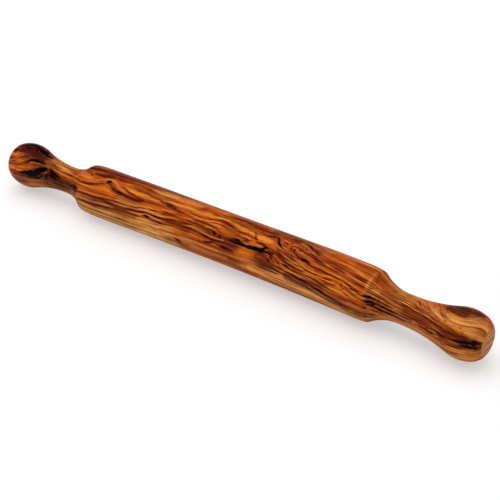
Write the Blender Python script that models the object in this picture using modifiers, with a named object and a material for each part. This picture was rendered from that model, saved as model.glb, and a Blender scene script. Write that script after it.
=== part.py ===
"""Rolling pin turned in one piece from an olive wood blank.

The pin lies on its barrel along X, +Z up, metres. The origin is on the surface
that it lies on, under the middle of its whole length. Barrel, necks, knobs and
sanded ends are one unbroken piece of wood, so they are one solid of revolution:
a chain of tangent arcs, turned about the pin's axis.
"""

import math

import bmesh
import bpy
from mathutils import Matrix, Vector

# Barrel: the rolling part, between the creases of its two shoulders.
BARREL_LENGTH = 0.2914
BARREL_DIAMETER = 0.0440

# Shoulder: the barrel eases off, turns over a soft crease and falls into the cove.
EASE_LENGTH = 0.0140
EASE_DROP = 0.0009
CREASE_RADIUS = 0.0016

# Handle at +X, each length counted from the shoulder's crease.
RIGHT_COVE_LENGTH = 0.0266
RIGHT_NECK_DIAMETER = 0.0246
RIGHT_KNOB_REACH = 0.0798
RIGHT_KNOB_DIAMETER = 0.0400

# Handle at -X, turned by eye to match and a little shorter.
LEFT_COVE_LENGTH = 0.0235
LEFT_NECK_DIAMETER = 0.0238
LEFT_KNOB_REACH = 0.0720
LEFT_KNOB_DIAMETER = 0.0396

# Both handles: the straight land at the neck, the knob's crown and its end.
NECK_LAND = 0.0028
CROWN_RADIUS = 0.0315
END_ROUND_RADIUS = 0.0146
END_ROUND_TURN = math.radians(20)
END_FLAT_DIAMETER = 0.0224

# Fineness of the facets: flats round the pin, then rings along each stretch.
FLATS = 60
EASE_RINGS = 4
CREASE_RINGS = 3
COVE_RINGS = 8
WAIST_RINGS = 7
CROWN_RINGS = 7
END_ROUND_RINGS = 6
MERGE_DISTANCE = 0.00001

WOOD_COLOUR = (0.38, 0.15, 0.038, 1.0)
WOOD_ROUGHNESS = 0.38


def clear_scene():
    for obj in list(bpy.data.objects):
        bpy.data.objects.remove(obj, do_unlink=True)


def towards(start, target, distance):
    """The point at this distance from start, on the way to target."""
    return start + (target - start).normalized() * distance


def circles_meet(centre_a, radius_a, centre_b, radius_b):
    """Where two circles cross, on the side nearer the pin's axis."""
    apart = centre_b - centre_a
    span = apart.length
    along = (span * span + radius_a * radius_a - radius_b * radius_b) / (2 * span)
    across = math.sqrt(radius_a * radius_a - along * along)
    ahead = apart / span
    crossings = [
        centre_a + ahead * along + Vector((-ahead.y, ahead.x)) * across * side
        for side in (1, -1)
    ]
    return min(crossings, key=lambda point: point.x)


def arc(centre, start, end, rings):
    """Points from start to end, the short way round centre; start is left out."""
    reach = start - centre
    turn = reach.angle_signed(end - centre)
    points = []
    for ring in range(1, rings + 1):
        angle = -turn * ring / rings
        turned = Vector(
            (
                reach.x * math.cos(angle) - reach.y * math.sin(angle),
                reach.x * math.sin(angle) + reach.y * math.cos(angle),
            )
        )
        points.append(centre + turned)
    return points


def half_outline(cove_length, neck_diameter, knob_reach, knob_diameter):
    """The outline from the barrel's middle to one end, as points (along, radius).

    Each arc starts where the one before it ends, on a shared tangent.
    """
    crease = BARREL_LENGTH / 2
    barrel_radius = BARREL_DIAMETER / 2
    neck_radius = neck_diameter / 2

    # Barrel: straight from the middle, where the two halves join.
    ease_start = Vector((crease - EASE_LENGTH, barrel_radius))
    points = [Vector((0, barrel_radius)), ease_start]

    # Ease at the barrel's end: a shallow arc that drops EASE_DROP by the crease.
    ease_radius = (EASE_LENGTH**2 + EASE_DROP**2) / (2 * EASE_DROP)
    ease_centre = Vector((ease_start.x, barrel_radius - ease_radius))

    # Cove: a hollow arc from the crease down to the neck, where it runs level.
    fall = barrel_radius - EASE_DROP - neck_radius
    cove_radius = (cove_length**2 + fall**2) / (2 * fall)
    cove_end = Vector((crease + cove_length, neck_radius))
    cove_centre = cove_end + Vector((0, cove_radius))

    # Crease: a small round that touches the ease from inside and the cove from outside.
    crease_centre = circles_meet(
        ease_centre, ease_radius - CREASE_RADIUS, cove_centre, cove_radius + CREASE_RADIUS
    )
    crease_start = towards(ease_centre, crease_centre, ease_radius)
    crease_end = towards(cove_centre, crease_centre, cove_radius)
    points += arc(ease_centre, ease_start, crease_start, EASE_RINGS)
    points += arc(crease_centre, crease_start, crease_end, CREASE_RINGS)
    points += arc(cove_centre, crease_end, cove_end, COVE_RINGS)

    # Neck: a short level land.
    waist_start = cove_end + Vector((NECK_LAND, 0))
    points.append(waist_start)

    # Waist: the long hollow arc that starts level at the neck and meets the knob's
    # crown on a tangent, which fixes its radius.
    crown_centre = Vector((crease + knob_reach, knob_diameter / 2 - CROWN_RADIUS))
    run = crown_centre.x - waist_start.x
    rise = waist_start.y - crown_centre.y
    waist_radius = (run**2 + rise**2 - CROWN_RADIUS**2) / (2 * (CROWN_RADIUS - rise))
    waist_centre = waist_start + Vector((0, waist_radius))
    waist_end = towards(waist_centre, crown_centre, waist_radius)
    points += arc(waist_centre, waist_start, waist_end, WAIST_RINGS)

    # Crown: over the knob's thickest place and on by END_ROUND_TURN.
    outwards = Vector((math.sin(END_ROUND_TURN), math.cos(END_ROUND_TURN)))
    crown_end = crown_centre + outwards * CROWN_RADIUS
    points += arc(crown_centre, waist_end, crown_end, CROWN_RINGS)

    # End round: a tighter arc that the sanded end flat cuts off.
    end_radius = END_FLAT_DIAMETER / 2
    round_centre = crown_centre + outwards * (CROWN_RADIUS - END_ROUND_RADIUS)
    end_reach = math.sqrt(END_ROUND_RADIUS**2 - (end_radius - round_centre.y) ** 2)
    round_end = Vector((round_centre.x + end_reach, end_radius))
    points += arc(round_centre, crown_end, round_end, END_ROUND_RINGS)

    # End flat: straight in to the axis.
    points.append(Vector((round_end.x, 0)))
    return points


def wood_material():
    wood = bpy.data.materials.new("oiled_olive_wood")
    wood.use_nodes = True
    shader = wood.node_tree.nodes["Principled BSDF"]
    shader.inputs["Base Color"].default_value = WOOD_COLOUR
    shader.inputs["Roughness"].default_value = WOOD_ROUGHNESS
    shader.inputs["Metallic"].default_value = 0.0
    return wood


def turned_blank(outline, name):
    """A mesh object holding the outline, which a Screw modifier turns about local Z."""
    shape = bmesh.new()
    corners = [shape.verts.new((point.y, 0, point.x)) for point in outline]
    for start, end in zip(corners, corners[1:]):
        shape.edges.new((start, end))
    mesh = bpy.data.meshes.new(name)
    shape.to_mesh(mesh)
    shape.free()
    blank = bpy.data.objects.new(name, mesh)

    lathe = blank.modifiers.new("lathe", "SCREW")
    lathe.axis = "Z"
    lathe.angle = math.tau
    lathe.steps = FLATS
    lathe.render_steps = FLATS
    lathe.use_smooth_shade = True
    lathe.use_merge_vertices = True
    lathe.merge_threshold = MERGE_DISTANCE
    return blank


def build_rolling_pin():
    right = half_outline(
        RIGHT_COVE_LENGTH, RIGHT_NECK_DIAMETER, RIGHT_KNOB_REACH, RIGHT_KNOB_DIAMETER
    )
    left = half_outline(
        LEFT_COVE_LENGTH, LEFT_NECK_DIAMETER, LEFT_KNOB_REACH, LEFT_KNOB_DIAMETER
    )
    # From the right end down the outside to the left end; both start at the barrel's middle.
    outline = right[::-1] + [Vector((-point.x, point.y)) for point in left[1:]]
    pin = turned_blank(outline, "rolling_pin")
    pin.data.materials.append(wood_material())

    # Lathe axis laid along X, with one flat facing straight down to lie on.
    half_flat = math.pi / FLATS
    axis_height = BARREL_DIAMETER / 2 * math.cos(half_flat)
    barrel_middle = (left[-1].x - right[-1].x) / 2
    pin.matrix_world = (
        Matrix.Translation((barrel_middle, 0, axis_height))
        @ Matrix.Rotation(math.pi / 2, 4, "Y")
        @ Matrix.Rotation(half_flat, 4, "Z")
    )
    return pin


def main():
    clear_scene()
    collection = bpy.data.collections.new("rolling_pin")
    bpy.context.scene.collection.children.link(collection)
    collection.objects.link(build_rolling_pin())


main()
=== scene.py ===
"""Looks of the one-piece olive wood rolling pin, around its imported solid."""

import math

import bpy
import numpy as np
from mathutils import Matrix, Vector


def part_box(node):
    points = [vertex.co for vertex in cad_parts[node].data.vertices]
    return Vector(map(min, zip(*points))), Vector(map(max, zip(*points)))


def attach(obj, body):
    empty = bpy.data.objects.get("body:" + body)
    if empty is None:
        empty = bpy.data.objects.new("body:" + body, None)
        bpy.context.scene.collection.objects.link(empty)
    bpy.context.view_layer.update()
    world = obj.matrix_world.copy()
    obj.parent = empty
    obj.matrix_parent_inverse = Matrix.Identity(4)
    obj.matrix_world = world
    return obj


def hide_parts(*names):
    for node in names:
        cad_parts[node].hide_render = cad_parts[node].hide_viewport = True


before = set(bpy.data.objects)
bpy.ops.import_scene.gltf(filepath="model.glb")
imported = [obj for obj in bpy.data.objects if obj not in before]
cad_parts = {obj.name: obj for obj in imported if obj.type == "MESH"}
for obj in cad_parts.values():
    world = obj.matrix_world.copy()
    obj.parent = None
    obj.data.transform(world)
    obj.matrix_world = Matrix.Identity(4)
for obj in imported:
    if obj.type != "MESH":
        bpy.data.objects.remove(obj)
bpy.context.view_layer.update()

# Camera
# A long lens looks down on the pin from its longer handle's side, so that handle comes
# towards the viewer, into the picture's lower right corner.
CAMERA_AZIMUTH = math.radians(35.76)
CAMERA_ELEVATION = math.radians(32.57)
CAMERA_DISTANCE = 1.068
CAMERA_AIM = Vector((0.0228, -0.0012, 0.0212))
LENS_MM = 93.7
SENSOR_MM = 36.0

camera_data = bpy.data.cameras.new("camera")
camera_data.lens = LENS_MM
camera_data.sensor_width = SENSOR_MM
camera = bpy.data.objects.new("camera", camera_data)
bpy.context.scene.collection.objects.link(camera)
level_reach = math.cos(CAMERA_ELEVATION)
towards_camera = Vector(
    (
        math.sin(CAMERA_AZIMUTH) * level_reach,
        -math.cos(CAMERA_AZIMUTH) * level_reach,
        math.sin(CAMERA_ELEVATION),
    )
)
camera.location = CAMERA_AIM + towards_camera * CAMERA_DISTANCE
camera.rotation_euler = towards_camera.to_track_quat("Z", "Y").to_euler()
bpy.context.scene.camera = camera
bpy.context.scene.view_settings.view_transform = "Standard"

# Studio
# The pin lies on a seamless table under a very wide, soft lamp. The table looks white to
# the camera and throws back a plain light elsewhere. In the pin's gloss the table is
# duller, and so is all of the sky but a band along the horizon.
WHITE = (1, 1, 1, 1)
TABLE_SIZE = 40.0
TABLE_ROUGHNESS = 1.0
TABLE_WHITE = 0.85
TABLE_GLOW_SHARE = 0.45
TABLE_GLOSS_SHARE = 0.45
SKY_STRENGTH = 0.70
GLOSS_ABOVE = 0.04
GLOSS_LEVEL = 0.75
GLOSS_BAND_TOP = 0.17
LAMP_STRENGTH = 1.30
LAMP_ANGLE = math.radians(70)
LAMP_TILT = (math.radians(-5), math.radians(-24), 0)


def joined(tree, kind, settings=None, inputs=None):
    """A new node with its settings; an input takes a link or a plain value."""
    made = tree.nodes.new(kind)
    for name, value in (settings or {}).items():
        setattr(made, name, value)
    for name, value in (inputs or {}).items():
        if isinstance(value, bpy.types.NodeSocket):
            tree.links.new(value, made.inputs[name])
        else:
            made.inputs[name].default_value = value
    return made


def math_of(tree, operation, *sides, clamp=False):
    """A Math node's result; each side is a link or a plain number."""
    settings = {"operation": operation, "use_clamp": clamp}
    return joined(tree, "ShaderNodeMath", settings, dict(enumerate(sides))).outputs[0]


def mixed(tree, share, first, second):
    """Two shaders, mixed by the second one's share."""
    inputs = {0: share, 1: first.outputs[0], 2: second.outputs[0]}
    return joined(tree, "ShaderNodeMixShader", inputs=inputs)


world = bpy.data.worlds.new("studio")
world.use_nodes = True
bpy.context.scene.world = world
tree = world.node_tree
sky = tree.nodes["Background"]
sky.inputs["Color"].default_value = WHITE
sky.inputs["Strength"].default_value = SKY_STRENGTH
rays = joined(tree, "ShaderNodeLightPath").outputs
way = joined(tree, "ShaderNodeTexCoord").outputs["Generated"]
height = joined(tree, "ShaderNodeSeparateXYZ", inputs={0: way}).outputs["Z"]
band = joined(
    tree,
    "ShaderNodeMapRange",
    inputs={"Value": height, "From Max": GLOSS_BAND_TOP, "To Min": GLOSS_LEVEL, "To Max": GLOSS_ABOVE},
)
gloss = joined(tree, "ShaderNodeBackground", inputs={"Color": WHITE, "Strength": band.outputs[0]})
white = joined(tree, "ShaderNodeBackground", inputs={"Color": WHITE})
lit = mixed(tree, rays["Is Glossy Ray"], sky, gloss)
seen = mixed(tree, rays["Is Camera Ray"], lit, white)
tree.links.new(seen.outputs[0], tree.nodes["World Output"].inputs["Surface"])

bpy.ops.mesh.primitive_plane_add(size=TABLE_SIZE)
table = bpy.context.object
table.name = "table"
paint = bpy.data.materials.new("table_white")
paint.use_nodes = True
tree = paint.node_tree
matt = tree.nodes["Principled BSDF"]
matt.inputs["Roughness"].default_value = TABLE_ROUGHNESS
matt.inputs["Specular IOR Level"].default_value = 0
rays = joined(tree, "ShaderNodeLightPath").outputs
dulled = joined(
    tree,
    "ShaderNodeMapRange",
    inputs={"Value": rays["Is Glossy Ray"], "To Min": TABLE_WHITE, "To Max": TABLE_GLOSS_SHARE},
)
shade = math_of(tree, "MAXIMUM", dulled.outputs[0], rays["Is Camera Ray"])
tree.links.new(shade, matt.inputs["Base Color"])
glow = joined(tree, "ShaderNodeEmission", inputs={"Color": WHITE})
share = math_of(tree, "MULTIPLY", rays["Is Camera Ray"], TABLE_GLOW_SHARE)
face = mixed(tree, share, matt, glow)
tree.links.new(face.outputs[0], tree.nodes["Material Output"].inputs["Surface"])
table.data.materials.append(paint)

lamp_data = bpy.data.lights.new("soft_lamp", "SUN")
lamp_data.energy = LAMP_STRENGTH
lamp_data.angle = LAMP_ANGLE
lamp = bpy.data.objects.new("soft_lamp", lamp_data)
lamp.rotation_euler = LAMP_TILT
lamp.visible_glossy = False
bpy.context.scene.collection.objects.link(lamp)

# Turned pin
# One olive wood blank turned between centres: barrel, coves, necks and knobs are one
# surface, sanded by hand and oiled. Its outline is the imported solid's, made finer, with
# the barrel's slight hollow, and the ends are sanded flat through the oiled skin.
FLATS_ROUND = 272
FINEST_STEP = 0.0002
WIDE_STEP = 0.0023
NEAR_STEP = 0.0009
CREASE_STEP = 0.0005
# Places along the pin, and how far apart its rings lie there: nearer where the outline
# turns or the figure is finest, and nearest at the shoulders' creases.
RING_STEPS = (
    (-0.180, NEAR_STEP),
    (-0.170, WIDE_STEP),
    (-0.150, WIDE_STEP),
    (-0.1475, CREASE_STEP),
    (-0.1425, CREASE_STEP),
    (-0.140, WIDE_STEP),
    (0.022, WIDE_STEP),
    (0.027, NEAR_STEP),
    (0.082, NEAR_STEP),
    (0.088, WIDE_STEP),
    (0.140, WIDE_STEP),
    (0.1425, CREASE_STEP),
    (0.1475, CREASE_STEP),
    (0.150, WIDE_STEP),
    (0.190, WIDE_STEP),
    (0.196, NEAR_STEP),
)
BARREL_HOLLOW = 0.0006
HOLLOW_REACH = 0.128
RIM_SOFTNESS = 0.0007
RIM_RINGS = 4
GUIDE_SHARE = 0.1
ALONG_X = (0, math.pi / 2, 0)
RIPPLE_DEPTH = 0.00035
RIPPLE_SIZE = 0.030
RIPPLE_STRETCH = 0.45
RIPPLE_DETAIL = 1.0
RIPPLE_SEED = 4.0
NOISE_MIDDLE = 0.5
WELD_DISTANCE = 0.00002
END_FACING = 0.97
SMALLEST_RING = 0.001
PLACE_DIGITS = 6

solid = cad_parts["rolling_pin"]
low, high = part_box("rolling_pin")
AXIS_HEIGHT = (low.z + high.z) / 2


def solid_outline():
    """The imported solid's rings as (along, radius), from one end flat's rim to the other's."""
    corners = np.array([corner.co for corner in solid.data.vertices])
    radius = np.hypot(corners[:, 1], corners[:, 2] - AXIS_HEIGHT)
    rings = np.unique(np.round(np.stack([corners[:, 0], radius], 1), PLACE_DIGITS), axis=0)
    rings = rings[rings[:, 1] > SMALLEST_RING]
    apart = np.hypot(*np.diff(rings, axis=0).T)
    return rings[np.append(True, apart > WELD_DISTANCE)]


def finer(rings):
    """A smooth curve through the rings that never swings past them."""
    steps = np.hypot(*np.diff(rings, axis=0).T)[:, None]
    slopes = np.diff(rings, axis=0) / steps
    before, after = slopes[:-1], slopes[1:]
    lean = 2 * steps[1:] + steps[:-1], steps[1:] + 2 * steps[:-1]
    turning = before * after <= 0
    safe_before = np.where(turning, 1, before)
    safe_after = np.where(turning, 1, after)
    mean = sum(lean) / (lean[0] / safe_before + lean[1] / safe_after)
    tangents = np.concatenate([slopes[:1], np.where(turning, 0, mean), slopes[-1:]])
    points = [rings[:1]]
    for i, step in enumerate(steps[:, 0]):
        count = max(1, round(step / FINEST_STEP))
        share = (np.arange(1, count + 1) / count)[:, None]
        leaving = rings[i] * (1 + 2 * share) + tangents[i] * step * share
        arriving = rings[i + 1] * (3 - 2 * share) + tangents[i + 1] * step * (share - 1)
        points.append(leaving * (1 - share) ** 2 + arriving * share**2)
    return np.concatenate(points)


def paced(points):
    """The outline again, with its rings as far apart as RING_STEPS says."""
    steps = np.hypot(*np.diff(points, axis=0).T)
    middles = (points[1:, 0] + points[:-1, 0]) / 2
    pace = np.append(0, np.cumsum(steps / np.interp(middles, *np.array(RING_STEPS).T)))
    wanted = np.linspace(0, pace[-1], round(pace[-1]) + 1)
    return np.stack([np.interp(wanted, pace, side) for side in points.T], 1)


def soft_rim(end, inner):
    """The end flat's rim, sanded round: points from the axis side out to the outline."""
    flat = end + (0, -RIM_SOFTNESS)
    back = end + (inner - end) / np.hypot(*(inner - end)) * RIM_SOFTNESS
    shares = np.linspace(0, 1, RIM_RINGS)[:, None]
    return flat * (1 - shares) ** 2 + end * 2 * shares * (1 - shares) + back * shares**2


outline = paced(finer(solid_outline()))
reach = np.clip(np.abs(outline[:, 0]) / HOLLOW_REACH, 0, 1)
outline[:, 1] -= BARREL_HOLLOW * (1 - reach**2) ** 2
left_rim = soft_rim(outline[0], outline[2])
right_rim = soft_rim(outline[-1], outline[-3])[::-1]
left_axis = np.array([[outline[0, 0], 0]])
right_axis = np.array([[outline[-1, 0], 0]])
outline = np.concatenate([left_axis, left_rim, outline[1:-1], right_rim, right_axis])

profile_mesh = bpy.data.meshes.new("profile")
profile_mesh.from_pydata(
    [(radius, -along, 0) for along, radius in outline[::-1]],
    [(i, i + 1) for i in range(len(outline) - 1)],
    [],
)
profile = bpy.data.objects.new("profile", profile_mesh)
bpy.context.scene.collection.objects.link(profile)

oiled_wood = bpy.data.materials.new("oiled_olive_wood")
oiled_wood.use_nodes = True
bare_end = bpy.data.materials.new("sanded_olive_end")
bare_end.use_nodes = True

# The lathe turns the profile about local Z, welds it, lays it along X at its axis's
# height and ripples it a little along its own normals.
lathe = bpy.data.node_groups.new("lathe", "GeometryNodeTree")
sockets = []
for name, kind, value in (
    ("Profile", "NodeSocketGeometry", None),
    ("Flats Round", "NodeSocketInt", FLATS_ROUND),
    ("Axis Height", "NodeSocketFloat", AXIS_HEIGHT),
    ("Weld Distance", "NodeSocketFloat", WELD_DISTANCE),
    ("Ripple Depth", "NodeSocketFloat", RIPPLE_DEPTH),
    ("Ripple Size", "NodeSocketFloat", RIPPLE_SIZE),
    ("Ripple Seed", "NodeSocketFloat", RIPPLE_SEED),
    ("End Facing", "NodeSocketFloat", END_FACING),
    ("Oiled Wood", "NodeSocketMaterial", oiled_wood),
    ("Bare End", "NodeSocketMaterial", bare_end),
):
    sockets.append((lathe.interface.new_socket(name, in_out="INPUT", socket_type=kind), value))
lathe.interface.new_socket("Turned", in_out="OUTPUT", socket_type="NodeSocketGeometry")
given = lathe.nodes.new("NodeGroupInput").outputs


def worked(step, inputs=None):
    """What one of the lathe's geometry nodes makes of its inputs."""
    return joined(lathe, "GeometryNode" + step, inputs=inputs).outputs[0]


curve = worked("MeshToCurve", {"Mesh": given["Profile"]})
guide_radius = math_of(lathe, "MULTIPLY", given["Weld Distance"], GUIDE_SHARE)
circle = worked(
    "CurvePrimitiveCircle", {"Resolution": given["Flats Round"], "Radius": guide_radius}
)
turned = worked("CurveToMesh", {"Curve": circle, "Profile Curve": curve})
welded = worked("MergeByDistance", {"Geometry": turned, "Distance": given["Weld Distance"]})
lift = joined(lathe, "ShaderNodeCombineXYZ", inputs={"Z": given["Axis Height"]}).outputs[0]
laid = worked("Transform", {"Geometry": welded, "Translation": lift, "Rotation": ALONG_X})
squeezed = joined(
    lathe,
    "ShaderNodeVectorMath",
    {"operation": "MULTIPLY"},
    {0: worked("InputPosition"), 1: (RIPPLE_STRETCH, 1, 1)},
)
ripple = joined(
    lathe,
    "ShaderNodeTexNoise",
    {"noise_dimensions": "4D"},
    {
        "Vector": squeezed.outputs[0],
        "W": given["Ripple Seed"],
        "Scale": math_of(lathe, "DIVIDE", 1, given["Ripple Size"]),
        "Detail": RIPPLE_DETAIL,
    },
)
swing = math_of(lathe, "SUBTRACT", ripple.outputs[0], NOISE_MIDDLE)
depth = math_of(lathe, "MULTIPLY", swing, given["Ripple Depth"])
facing = worked("InputNormal")
push = joined(lathe, "ShaderNodeVectorMath", {"operation": "SCALE"}, {0: facing, "Scale": depth})
rippled = worked("SetPosition", {"Geometry": laid, "Offset": push.outputs[0]})
smooth = worked("SetShadeSmooth", {"Geometry": rippled})
real = worked("RealizeInstances", {"Geometry": smooth})
oiled = worked("SetMaterial", {"Geometry": real, "Material": given["Oiled Wood"]})
sideways = joined(lathe, "ShaderNodeSeparateXYZ", inputs={0: facing}).outputs["X"]
is_end = joined(
    lathe,
    "FunctionNodeCompare",
    {"operation": "GREATER_THAN", "data_type": "FLOAT"},
    {"A": math_of(lathe, "ABSOLUTE", sideways), "B": given["End Facing"]},
)
ended = worked(
    "SetMaterial",
    {"Geometry": oiled, "Selection": is_end.outputs[0], "Material": given["Bare End"]},
)
joined(lathe, "NodeGroupOutput", inputs={0: ended})

turning = profile.modifiers.new("lathe", "NODES")
turning.node_group = lathe
for socket, value in sockets:
    if value is not None:
        turning[socket.identifier] = value
graph = bpy.context.evaluated_depsgraph_get()
mesh = bpy.data.meshes.new_from_object(profile.evaluated_get(graph))
mesh.name = "rolling_pin_surface"
profile.modifiers.remove(turning)
bpy.data.objects.remove(profile, do_unlink=True)
pin = bpy.data.objects.new("rolling_pin_turned", mesh)
bpy.context.scene.collection.objects.link(pin)

# The figure, as it lies on the surface. A line is one mark: its tone, its half width in
# millimetres, then the places it passes. A place is millimetres from the pin's middle
# and degrees round it, from the top towards the camera's side.
# Left knob: a near-black cap, and a black vein that rises from it to the neck.
LEFT_KNOB = """
black 3.2: -229,-14 -220,-11 -209,-14
black 1.5: -229,5 -224,1 -219,-3
black 1.3: -214,-8 -213,0 -212,7
black 1.8: -209,-33 -206,-17 -204,-4
black 1.1: -224,12 -219,10 -216,6
black 1.3: -232,20 -231,30 -231,39
maroon 1.5: -230,12 -226,17 -221,22 -216,22 -212,17
maroon 1.3: -218,4 -214,11 -211,17
maroon 1.1: -210,21 -206,17 -200,13
maroon 0.7: -230,60 -226,54 -222,47 -219,40 -216,34 -212,28 -208,21
maroon 0.7: -229,63 -224,64 -220,61 -217,57 -214,51
maroon 0.6: -231,85 -225,82 -218,81
maroon 0.6: -231,91 -224,92 -217,93
maroon 1.1: -218,86 -212,91 -206,93 -200,90
black 1.3: -214,53 -212,46 -211,41 -209,36 -206,33 -202,31 -196,28
black 0.6: -205,27 -200,25
black 2.4: -219,82 -213,78 -208,75 -204,70 -201,63 -199,55 -195,47 -191,43
black 2.1: -215,82 -208,80 -202,77 -198,71
black 1.2: -209,89 -203,88 -199,85 -197,78 -195,69
black 1.1: -198,65 -196,57 -193,49
gold 1.3: -229,59 -224,58 -220,55 -217,50 -214,42
gold 1.4: -231,72 -225,72 -220,69 -215,67 -211,67 -207,64 -204,59
cream 0.7: -210,44 -206,40 -201,38
cream 0.7: -207,59 -204,53 -201,47
gold 1.0: -230,45 -224,41 -219,35
gold 0.8: -228,52 -223,47 -219,41
"""
# Left neck: the vein forks, and its upper branch runs into the barrel.
LEFT_NECK = """
black 1.8: -192,43 -189,45 -187,48 -184,53 -180,58 -175,64
black 1.7: -192,61 -192,71 -192,79 -191,87
maroon 0.9: -191,85 -191,98 -190,115
black 1.3: -191,51 -187,58 -185,63 -182,68 -179,75
black 0.8: -189,64 -186,69 -183,74
maroon 1.2: -181,75 -177,78 -170,80
maroon 0.8: -184,64 -178,68 -172,70 -163,72
maroon 0.7: -186,84 -178,87 -170,90
black 1.9: -166,73 -160,70 -155,68 -151,65 -147,63
maroon 0.9: -198,29 -194,24 -191,22 -188,22 -185,26 -181,29 -177,31
maroon 0.9: -181,29 -177,31 -172,32 -166,34 -161,37 -155,41 -148,46
black 0.5: -183,29 -177,31 -170,33 -163,36
brown 0.7: -180,7 -174,13 -167,19 -161,25 -155,32 -149,37
brown 0.6: -170,3 -163,12 -156,20 -149,27
brown 0.6: -199,5 -193,7 -187,4
gold 1.1: -188,12 -181,14 -175,19 -167,26
gold 1.2: -186,35 -180,40 -175,43 -166,44
cream 0.5: -166,28 -159,33 -152,39
gold 0.8: -175,50 -165,51 -155,53
"""
# Barrel's left third: a dark eye with an arch under it, and a bundle of dark lines.
BARREL_LEFT = """
black 1.1: -149,-1 -147,1 -145,2
maroon 1.1: -145,1 -140,0 -135,-1
maroon 1.7: -138,17 -134,15 -130,15 -125,12 -120,8
maroon 1.0: -137,17 -131,15 -126,12 -121,10
maroon 0.9: -122,8 -116,7 -109,8 -102,8
brown 0.8: -104,8 -98,4 -91,3 -84,4 -79,6 -73,9
maroon 1.1: -141,23 -139,21
maroon 0.5: -147,13 -143,17 -139,22
brown 0.7: -138,35 -134,30 -130,23 -126,18
brown 0.6: -132,34 -128,29 -124,24
maroon 0.9: -152,45 -147,47 -141,46 -136,43 -130,39 -125,34 -121,30 -120,27
black 1.9: -122,24 -118,24
maroon 1.3: -120,28 -117,31 -114,35 -111,39 -106,41 -101,42 -96,44 -91,45
maroon 1.5: -100,43 -94,45 -88,45 -83,43 -79,39
black 0.5: -108,41 -104,41 -101,42
maroon 1.0: -113,36 -110,41
maroon 0.6: -113,16 -109,21 -104,25 -100,28 -96,32 -91,34 -86,36 -80,38
brown 0.7: -81,38 -76,37 -70,36 -63,37
brown 0.6: -111,11 -105,14 -99,18 -93,22
maroon 0.8: -101,14 -96,17 -91,19 -85,20 -80,20 -73,22 -67,22 -62,19
brown 0.8: -63,18 -57,15 -49,14 -41,13
maroon 1.0: -148,71 -142,70 -136,69 -129,70 -122,68 -116,66 -110,63
maroon 0.6: -112,63 -105,62 -98,61 -91,60 -84,59 -79,56 -72,54 -64,52
maroon 0.8: -148,79 -142,78 -135,78 -128,76 -121,74 -113,72 -105,71 -97,70
maroon 1.0: -99,70 -92,69 -85,68 -80,67 -76,65 -73,61
maroon 0.9: -93,69 -86,68 -80,67
maroon 0.9: -147,88 -140,88 -132,88 -125,87 -119,84 -113,82 -105,80 -96,80
maroon 0.8: -99,80 -91,79 -84,77 -78,75 -73,73
brown 0.5: -147,75 -139,74 -131,73 -123,71 -115,69 -107,67
brown 0.5: -140,92 -128,91 -117,88 -106,86 -94,85 -82,83
brown 0.5: -112,76 -102,75 -92,75 -82,73
brown 0.4: -140,51 -128,52 -117,51
brown 0.4: -143,57 -130,58 -117,57 -105,55
brown 0.4: -105,50 -95,50 -85,51 -77,49
cream 0.5: -140,6 -133,5 -127,3
cream 0.5: -125,19 -121,16 -117,17 -113,22 -109,27
gold 1.3: -113,26 -108,31 -102,34 -97,37
gold 1.6: -101,24 -94,26 -87,28 -80,28 -74,27 -66,27
gold 0.7: -106,12 -100,13 -95,16
cream 0.9: -98,8 -90,9 -84,12 -78,14 -71,15 -65,14 -56,12
gold 0.7: -142,40 -135,38 -129,32 -124,27
gold 0.9: -148,31 -143,31 -138,27
gold 0.8: -131,45 -126,42 -120,40 -114,44
gold 0.7: -148,51 -139,50 -130,49
cream 0.5: -147,66 -139,65 -130,65 -121,63
cream 0.4: -146,85 -138,84 -130,83 -123,80 -115,78 -106,76
cream 0.5: -110,67 -102,66 -94,66 -87,64 -80,62 -76,59
cream 0.4: -103,73 -93,73 -84,72 -78,70 -74,67
cream 0.5: -108,59 -100,58 -90,57 -82,54
gold 0.9: -100,92 -88,93 -76,91
"""
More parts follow.
